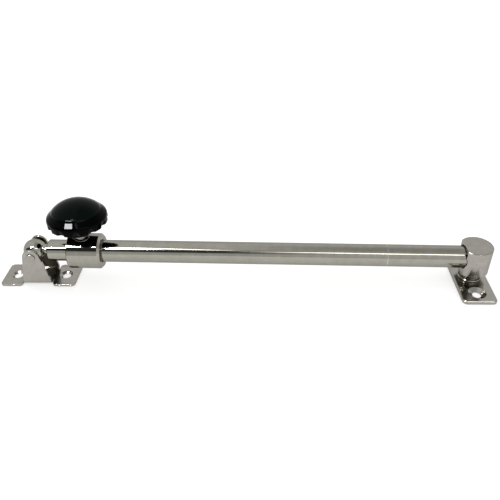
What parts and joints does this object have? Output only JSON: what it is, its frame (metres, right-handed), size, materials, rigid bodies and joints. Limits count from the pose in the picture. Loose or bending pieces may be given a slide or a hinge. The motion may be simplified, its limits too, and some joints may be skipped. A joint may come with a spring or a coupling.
{
  "type": "telescopic lid stay",
  "caption": "Telescopic lid stay: a rod slides in a tube and is locked by a clamp knob, between a pivoting bracket and a swivel post on a base plate.",
  "frame": {"origin": "on the swivel post's axis, in the mounting face of the base plate, midway between its screw holes", "axes": "+Z out of the mounting faces towards the knob, the closed stay runs from the post along -X to the bracket, its tube rising 3.6 mm on the way"},
  "size_m": [0.2664, 0.0436, 0.049],
  "materials": {
    "polished_nickel": "polished nickel plate",
    "satin_nickel": "satin nickel plate",
    "drawn_tube": "drawn and plated, fine lines along its length",
    "zinc_steel": "zinc plated",
    "black_steel": "blackened",
    "brass": "turned",
    "black_plastic": "glossy moulded plastic"
  },
  "bodies": {
    "swivel_base": {"base_plate": "satin_nickel", "swivel_washer": "polished_nickel"},
    "barrel": {"swivel_screw": "zinc_steel", "swivel_post": "satin_nickel", "outer_tube": "drawn_tube", "locking_collar": "polished_nickel", "collar_grub_screw": "black_steel"},
    "pressure_pad": {"clamp_pad": "brass"},
    "clamp_knob": {"clamp_stud": "zinc_steel", "knob_insert": "polished_nickel", "knob_grip": "black_plastic"},
    "rod_guide": {"guide_bush": "brass"},
    "rod": {"inner_rod": "drawn_tube", "rod_head": "polished_nickel", "bush_washer": "zinc_steel", "bush_screw": "zinc_steel"},
    "bracket": {"hinge_pin": "satin_nickel", "clevis_bracket": "satin_nickel"}
  },
  "joints": [
    {"name": "post_swivel", "type": "hinge", "parent": "swivel_base", "child": "barrel", "pos_m": [0, 0, 0], "axis": [0, 0, 1], "continuous": true},
    {"name": "pad_lift", "type": "slide", "parent": "barrel", "child": "pressure_pad", "axis": [0.0152, 0, 0.9999], "range_m": [0, 0.002]},
    {"name": "knob_turn", "type": "hinge", "parent": "pressure_pad", "child": "clamp_knob", "pos_m": [-0.2102, 0, 0.01799], "axis": [0.0152, 0, 0.9999], "range_deg": [0, 720]},
    {"name": "rod_slide", "type": "slide", "parent": "barrel", "child": "rod_guide", "axis": [-0.9999, 0, 0.0152], "range_m": [0, 0.165]},
    {"name": "rod_twist", "type": "hinge", "parent": "rod_guide", "child": "rod", "pos_m": [-0.237, 0, 0.0184], "axis": [-0.9999, 0, 0.0152], "range_deg": [-110, 110]},
    {"name": "bracket_pivot", "type": "hinge", "parent": "rod", "child": "bracket", "pos_m": [-0.237, 0, 0.0184], "axis": [0, 1, 0], "range_deg": [-17, 150]}
  ],
  "couplings": [
    {"joint": "pad_lift", "follows": "knob_turn", "m_per_rad": 0.000159}
  ]
}
